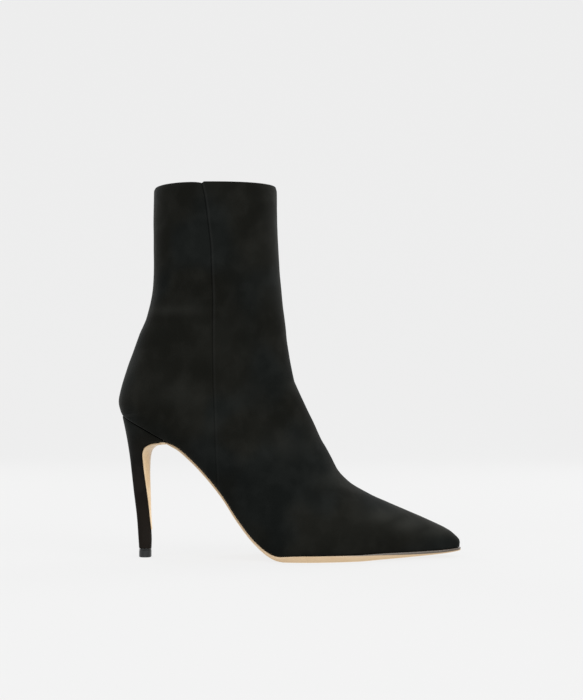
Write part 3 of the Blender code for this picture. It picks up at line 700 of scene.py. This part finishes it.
# The outer skin: its points, each ring's row of corner numbers, its faces and its outward directions
def upperSkin(places):
    half = upperPiece["halfSteps"]
    points, rows = [], []
    for at in places:
        ring = upperRing(at, half)
        first = len(points)
        if at <= legEnd:
            points += list(ring[:-1])
            rows.append(list(range(first, first + 2 * half)) + [first])
        elif at >= lastRing:
            points += list(ring[:half + 1])
            row = list(range(first, first + half + 1))
            rows.append(row + row[-2::-1])
        else:
            points += list(ring)
            rows.append(list(range(first, first + 2 * half + 1)))
    faces = gridFaces(rows)
    guide = bpy.data.meshes.new("guide")
    guide.from_pydata([tuple(point) for point in points], [], faces)
    outward = np.array([corner.normal[:] for corner in guide.vertices])
    bpy.data.meshes.remove(guide)
    if outward[rows[0][half]][0] < 0:
        outward = -outward
    return np.array(points), rows, faces, outward


# How far the side seam, folds and handling raise each point, less so near the collar
def skinLift(points, gap):
    ramp = 1 / (1 + np.exp(-gap / upperPiece["seamSoftness"]))
    step = upperPiece["seamStep"] * ramp * np.exp(-np.maximum(gap, 0) / upperPiece["seamFade"])
    groove = -upperPiece["seamGroove"] * np.exp(-(gap / upperPiece["seamWidth"]) ** 2)
    lift = foldLift(points) + handleLift(points) + step + groove
    band = upperPiece["collarBand"]
    nearCollar = np.clip((points[:, 2] - ringLines["frontZ"][0] + band) / band, 0, 1)
    return lift * (1 - upperPiece["collarCalm"] * nearCollar)


# The collar's line: a notch where the side seam ends, and a dip at the back
def collarDrop(gap, x):
    drop = -upperPiece["notch"] * np.exp(np.minimum(gap, 0) / upperPiece["notchLength"])
    drop = drop * (gap < upperPiece["notchEnd"])
    middle = (x.max() + x.min()) / 2
    backward = np.clip((middle - x) / (middle - x.min()), 0, 1)
    return drop - upperPiece["backDip"] * backward ** upperPiece["backDipPower"]


# Across the folded collar edge, from outside to inside: share of the wall, and rise in metres
collarRim = ((0.05, 0.0004), (0.22, 0.00065), (0.42, 0.0005), (0.50, 0.0001), (0.56, 0.00055), (0.78, 0.0007),
             (0.97, 0.0003))
# The first strips of the rim are suede, the others lining
suedeStrips = 3


# Faces that turn the other way, because they lie on the inner side
def innerFaces(rows):
    return [tuple(reversed(face)) for face in gridFaces(rows)]


def withoutRepeats(*corners):
    return tuple(dict.fromkeys(corners))


# The upper with its folds, side seams, folded collar edge and lining
def buildUpper(suede, lining):
    places = ringPlaces(upperPiece["ringSpacing"])
    half = upperPiece["halfSteps"]
    points, rows, faces, outward = upperSkin(places)
    gap = points[:, 0] - seamX(points[:, 2])
    outer = points + outward * skinLift(points, gap)[:, None]
    inner = outer - outward * upperPiece["wall"]
    firstOpen = max(k for k, at in enumerate(places) if at <= legEnd)
    lastInner = max(
        k for k, at in enumerate(places) if at <= legEnd + 1 or soleHalf(at, 1) > upperPiece["toeFill"]
    )

    top = rows[0][:-1]
    drop = collarDrop(gap[top], outer[top, 0])
    outer[top, 2] += drop
    inner[top, 2] += drop
    tuck = upperPiece["collarRound"]
    for row in rows:
        depth = (outer[top, 2].mean() - outer[row, 2].mean()) / (4 * tuck)
        if depth > 1:
            break
        corners = sorted(set(row))
        outer[corners] -= outward[corners] * tuck * (1 - max(depth, 0.0)) ** 2
    allPoints = [tuple(point) for point in outer]
    rimRows = [rows[0]]
    for share, rise in collarRim:
        first = len(allPoints)
        line = outer[top] + (inner[top] - outer[top]) * share
        line[:, 2] += rise
        allPoints += [tuple(point) for point in line]
        rimRows.append(list(range(first, first + len(top))) + [first])
    innerCount = max(max(row) for row in rows[:lastInner + 1]) + 1
    shift = len(allPoints)
    allPoints += [tuple(point) for point in inner[:innerCount]]
    innerRows = [[corner + shift for corner in row] for row in rows[:lastInner + 1]]
    rimRows.append(innerRows[0])

    kinds = [0] * len(faces)
    for k, strip in enumerate(zip(rimRows, rimRows[1:])):
        made = innerFaces(strip)
        faces += made
        kinds += [int(k >= suedeStrips)] * len(made)
    made = innerFaces(innerRows)
    faces += made
    kinds += [1] * len(made)
    # The lower edges, the end of the inside at the toe, and the closed tip before it
    for k in range(firstOpen, lastInner):
        for end in (0, -1):
            outside = (rows[k][end], rows[k + 1][end])
            faces.append(withoutRepeats(*outside, innerRows[k + 1][end], innerRows[k][end]))
    ring = innerRows[lastInner]
    for k in range(half):
        faces.append(withoutRepeats(ring[k], ring[k + 1], ring[-2 - k], ring[-1 - k]))
    faces.append((rows[lastInner][0], rows[lastInner][-1], ring[-1], ring[0]))
    for before, after in zip(rows[lastInner:], rows[lastInner + 1:]):
        faces.append(withoutRepeats(before[0], after[0], after[-1], before[-1]))
    kinds += [0] * (len(faces) - len(kinds))
    piece = closedPiece("upperSuede", allPoints, faces, (suede, lining), kinds)

    finished = np.array(allPoints)
    pointMark(piece, "seam", finished[:, 0] - seamX(finished[:, 2]))
    # Painted shade: the upper's lower edges, where it meets the sole and the heel, get the shadow colour
    marks = np.zeros(len(finished))
    for row in rows[firstOpen:lastInner + 1] + innerRows[firstOpen:]:
        marks[[row[0], row[-1]]] = 1.0
    pointMark(piece, "groove", marks)
    # Painted highlight spots, where the suede is paled
    pointMark(piece, "paintedHighlight", highlightShare(finished))
    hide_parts("upper")
    return piece


# A point of the sole's outline beside the middle line, spread outwards
def outlinePoint(at, side, spread):
    def place(row):
        return Vector((footValue("soleX", row), side * soleHalf(row, side) + footValue("swing", row), 0.0))

    along = (place(min(at + rowProbe, lastRing)) - place(max(at - rowProbe, legEnd))).normalized()
    outward = Vector((-along.y, along.x, 0.0)) * side
    if at >= lastRing:
        outward = Vector((1.0, 0.0, 0.0))
    return place(at) + outward * spread


# One row across the sole's flap on the heel's breast: outer and inner points
def flapRow(share):
    at = outsolePiece["flapBottom"] + (seatRow - outsolePiece["flapBottom"]) * share
    thin = outsolePiece["flapEdge"] * (outsolePiece["flapSkive"] + (1 - outsolePiece["flapSkive"]) * share)
    inner, outer = [], []
    for j in range(outsolePiece["across"] + 1):
        across = -1 + 2 * j / outsolePiece["across"]
        point = breastPoint(at, across)
        up = breastPoint(min(at + breastProbe, seatRow), across) - breastPoint(at - breastProbe, across)
        right = breastPoint(at, min(across + breastProbe, 1.0))
        over = right - breastPoint(at, max(across - breastProbe, -1.0))
        outward = over.cross(up).normalized()
        if outward.x < 0:
            outward.negate()
        inner.append(point + outward * clearance)
        outer.append(point + outward * (clearance + thin))
    return outer, inner


# One row across the sole in front of the heel: lower and upper points
def soleStation(at):
    spread = soleValue("reach", footValue("soleX", at)) * outsolePiece["reach"]
    outerEdge, innerEdge = outlinePoint(at, -1, spread), outlinePoint(at, 1, spread)
    if at >= lastRing:
        before = at - outsolePiece["toeBack"]
        outerEdge = outlinePoint(before, -1, spread).lerp(outerEdge, outsolePiece["toeShare"])
        innerEdge = outlinePoint(before, 1, spread).lerp(innerEdge, outsolePiece["toeShare"])
    lower, upper = [], []
    for j in range(outsolePiece["across"] + 1):
        point = outerEdge.lerp(innerEdge, j / outsolePiece["across"])
        if at >= lastRing:
            sideways = 2 * j / outsolePiece["across"] - 1
            point.x = outlinePoint(at, 1, spread).x - sideways ** 2 * outsolePiece["toeRound"]
        across = Vector((0.0, point.y, 0.0))
        lower.append(solePoint(point.x) + across)
        upper.append(soleLift(point.x, soleThickness(point.x)) + across)
    return lower, upper


# The rounded edge from below to above: share of the thickness, and share of the bulge
edgeRound = ((0.10, 0.6), (0.30, 1.0), (0.55, 1.0), (0.80, 1.0), (0.93, 0.6))


# The sole as loops across it: lower face, rounded edge, upper face, rounded edge
def buildOutsole(leather):
    stations = [flapRow(k / outsolePiece["flapRows"]) for k in range(outsolePiece["flapRows"] + 1)]
    start = seatFront.x + outsolePiece["frontOfSeat"]
    search = ringPlaces(outsolePiece["searchSpacing"])
    first = next(at for at in search if at > legEnd and footValue("soleX", at) > start)
    stations += [soleStation(at) for at in ringPlaces(outsolePiece["rowSpacing"]) if at >= first]
    loops, heights, sides = [], [], []
    for lower, upper in stations:
        thick = (upper[0] - lower[0]).length
        bulge = min(outsolePiece["bulge"], outsolePiece["bulgeShare"] * thick)
        rightOut = (lower[-1] - lower[-2]).normalized() * bulge
        leftOut = (lower[0] - lower[1]).normalized() * bulge
        loop = [(point, 0.0) for point in lower]
        loop += [(lower[-1].lerp(upper[-1], share) + rightOut * out, share) for share, out in edgeRound]
        loop += [(point, 1.0) for point in reversed(upper)]
        falling = reversed(edgeRound)
        loop += [(lower[0].lerp(upper[0], share) + leftOut * out, share) for share, out in falling]
        loops.append([point for point, _share in loop])
        heights += [share for _point, share in loop]
        sides += [float(0.0 < share) for _point, share in loop]
    piece, _rows = tubePiece("soleLeatherPiece", loops, leather)
    pointMark(piece, "edgeHeight", heights)
    pointMark(piece, "edgeSide", sides)
    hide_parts("outsole")


# A ring of the heel or tip, drawn in by an inset
def heelRing(at, steps, inset=0.0):
    sides = []
    for side in (-1, 1):
        line = ovalHalf(heelBack(at), heelFront(at), 0.0, heelHalf(at), heelValue("widest", at),
                        2 / heelValue("backPower", at), 2 / heelValue("frontPower", at), side)
        sides.append(evenPoints(line, steps // 2))
    ring = np.concatenate((sides[0][:-1], sides[1][:0:-1]))
    middle = ring.mean(axis=0)
    away = ring - middle
    return ring - away / np.linalg.norm(away, axis=1)[:, None] * inset


# The rolled seat edge: rows below the seat, inset in metres, and how deep in shadow
SeatEase = namedtuple("SeatEase", "below inset shadow")
seatEases = [SeatEase(0.16, 0.0, 0.0), SeatEase(0.09, 0.00012, 0.40), SeatEase(0.04, 0.00032, 0.85),
             SeatEase(0.0, 0.0008, 1.0)]


# The covered heel, its seat edge rolled over and its foot eased where the tip begins
def buildHeel(suede):
    steps, ringPoints = heelPiece["ringSteps"], heelPiece["points"]
    rings = [heelRing(0.0, ringPoints, heelPiece["footEase"])]
    rings += [heelRing(max(k / steps, heelPiece["firstRow"]), ringPoints) for k in range(seatRow * steps)]
    rings += [heelRing(seatRow - ease.below, ringPoints, ease.inset) for ease in seatEases]
    piece, rows = tubePiece("heelCover", rings, suede)
    # Painted shade on the rolled seat edge, deepest where it meets the upper
    marks = np.zeros(len(piece.data.vertices))
    for row, ease in zip(rows[-len(seatEases):], seatEases):
        marks[row] = ease.shadow
    pointMark(piece, "groove", marks)
    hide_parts("heel")


# The wearing tip: eased lower edge and a shallow moulded groove near its top
def buildTip(black):
    ring = heelRing(0.0, heelPiece["points"])
    away = ring - ring.mean(axis=0)
    away /= np.linalg.norm(away, axis=1)[:, None]
    height, bevel, groove = tipPiece["height"], tipPiece["bevel"], tipPiece["groove"]
    nearEdge, ease = bevel * tipPiece["bevelShare"], tipPiece["topEase"]
    levels = ((0.0, bevel), (nearEdge, nearEdge), (bevel, 0.0), (height * tipPiece["grooveLow"], 0.0),
              (height * tipPiece["grooveDeepLow"], groove), (height * tipPiece["grooveDeepHigh"], groove),
              (height * tipPiece["grooveHigh"], 0.0), (height - ease, 0.0), (height, ease))
    loops = []
    for rise, inset in levels:
        level = ring - away * inset
        level[:, 2] = rise
        loops.append(level)
    piece, _rows = tubePiece("wearingTip", loops, black)
    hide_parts("top_piece")


# The floor sweeps up behind the bootie, and its paper glows so that it is nearly as even as in the photograph
stageSizes = {"front": -2.2, "back": 1.6, "bend": 1.0, "bendSteps": 16, "rise": 3.0, "half": 3.5}
stageTones = {"paper": 0.050, "glow": 0.800, "sky": 0.75}


def buildStage():
    s = stageSizes
    profile = [(s["front"], 0.0), (s["back"], 0.0)]
    for k in range(1, s["bendSteps"] + 1):
        turn = math.pi / 2 * k / s["bendSteps"]
        profile.append((s["back"] + s["bend"] * math.sin(turn), s["bend"] * (1 - math.cos(turn))))
    profile.append((s["back"] + s["bend"], s["rise"]))
    points = [(x, y, z) for y, z in profile for x in (-s["half"], s["half"])]
    faces = [(2 * k, 2 * k + 1, 2 * k + 3, 2 * k + 2) for k in range(len(profile) - 1)]
    mesh = bpy.data.meshes.new("studioSweep")
    mesh.from_pydata(points, [], faces)
    mesh.shade_smooth()
    paper = (stageTones["paper"],) * 3 + (1.0,)
    look = Look("paleSweep", Roughness=0.9, Specular_IOR_Level=0.0, Base_Color=paper,
                Emission_Color=(1.0, 1.0, 1.0, 1.0), Emission_Strength=stageTones["glow"])
    mesh.materials.append(look.material)
    sweep = bpy.data.objects.new("studioSweep", mesh)
    bpy.context.scene.collection.objects.link(sweep)


# Lights: where each stands and what it faces, its size in metres and its power in watts
LightRow = namedtuple("LightRow", "name spot target size power")
lightRows = [
    LightRow("overhead", (0.0, -0.1, 1.5), (0.0, 0.0, 0.05), 1.8, 16.0),
    LightRow("frontLeft", (-1.1, -1.3, 0.9), (0.0, 0.0, 0.12), 1.0, 14.0),
    LightRow("frontRight", (1.2, -1.1, 0.8), (0.0, 0.0, 0.08), 0.9, 16.0),
    LightRow("rearRight", (1.0, 1.0, 0.7), (0.0, 0.0, 0.08), 0.7, 12.0),
    LightRow("rearLeft", (-1.0, 1.0, 0.7), (0.0, 0.0, 0.15), 0.7, 9.0),
]


def buildLights():
    for row in lightRows:
        light = bpy.data.lights.new(row.name, "AREA")
        light.size = row.size
        light.energy = row.power
        lamp = bpy.data.objects.new(row.name, light)
        lamp.location = row.spot
        lamp.rotation_euler = (Vector(row.target) - Vector(row.spot)).to_track_quat("-Z", "Y").to_euler()
        bpy.context.scene.collection.objects.link(lamp)
    world = bpy.data.worlds.new("studio")
    world.use_nodes = True
    sky = world.node_tree.nodes["Background"].inputs
    sky["Color"].default_value = (1.0, 1.0, 1.0, 1.0)
    sky["Strength"].default_value = stageTones["sky"]
    bpy.context.scene.world = world


# The photograph: size in pixels, the scale at the bootie's middle plane, and the row level with the lens
photo = {"wide": 583, "high": 700, "metresPerPixel": 0.000704, "middleColumn": 289.75, "lensRow": 393.0}
cameraSizes = {"distance": 1.09, "height": 0.115, "sensor": 36.0, "nearest": 0.05}


# The lens stands level with the middle of the shaft's foot and looks slightly up, as in the photograph
def buildCamera():
    focal = cameraSizes["distance"] / photo["metresPerPixel"]
    data = bpy.data.cameras.new("camera")
    data.sensor_fit = "HORIZONTAL"
    data.sensor_width = cameraSizes["sensor"]
    data.lens = focal / photo["wide"] * cameraSizes["sensor"]
    data.clip_start = cameraSizes["nearest"]
    camera = bpy.data.objects.new("camera", data)
    sideways = (photo["wide"] / 2 - photo["middleColumn"]) * photo["metresPerPixel"]
    tilt = math.atan((photo["lensRow"] - photo["high"] / 2) / focal)
    camera.location = (sideways, -cameraSizes["distance"], cameraSizes["height"])
    camera.rotation_euler = (math.pi / 2 + tilt, 0.0, 0.0)
    bpy.context.scene.collection.objects.link(camera)
    bpy.context.scene.camera = camera


bpy.context.scene.view_settings.view_transform = "Standard"
buildCamera()
suede = suedeLook("suede", True)
heelSuede = suedeLook("heelSuede", False)
leather = soleLook()
lining = liningLook()
black = tipLook()
print("looks ready")
upper = buildUpper(suede, lining)
print("upper", len(upper.data.polygons), "faces")
buildOutsole(leather)
buildHeel(heelSuede)
buildTip(black)
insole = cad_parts["insole"]
for slotNumber in range(len(insole.material_slots)):
    insole.material_slots[slotNumber].material = lining
print("sole, heel and tip ready")
buildStage()
buildLights()
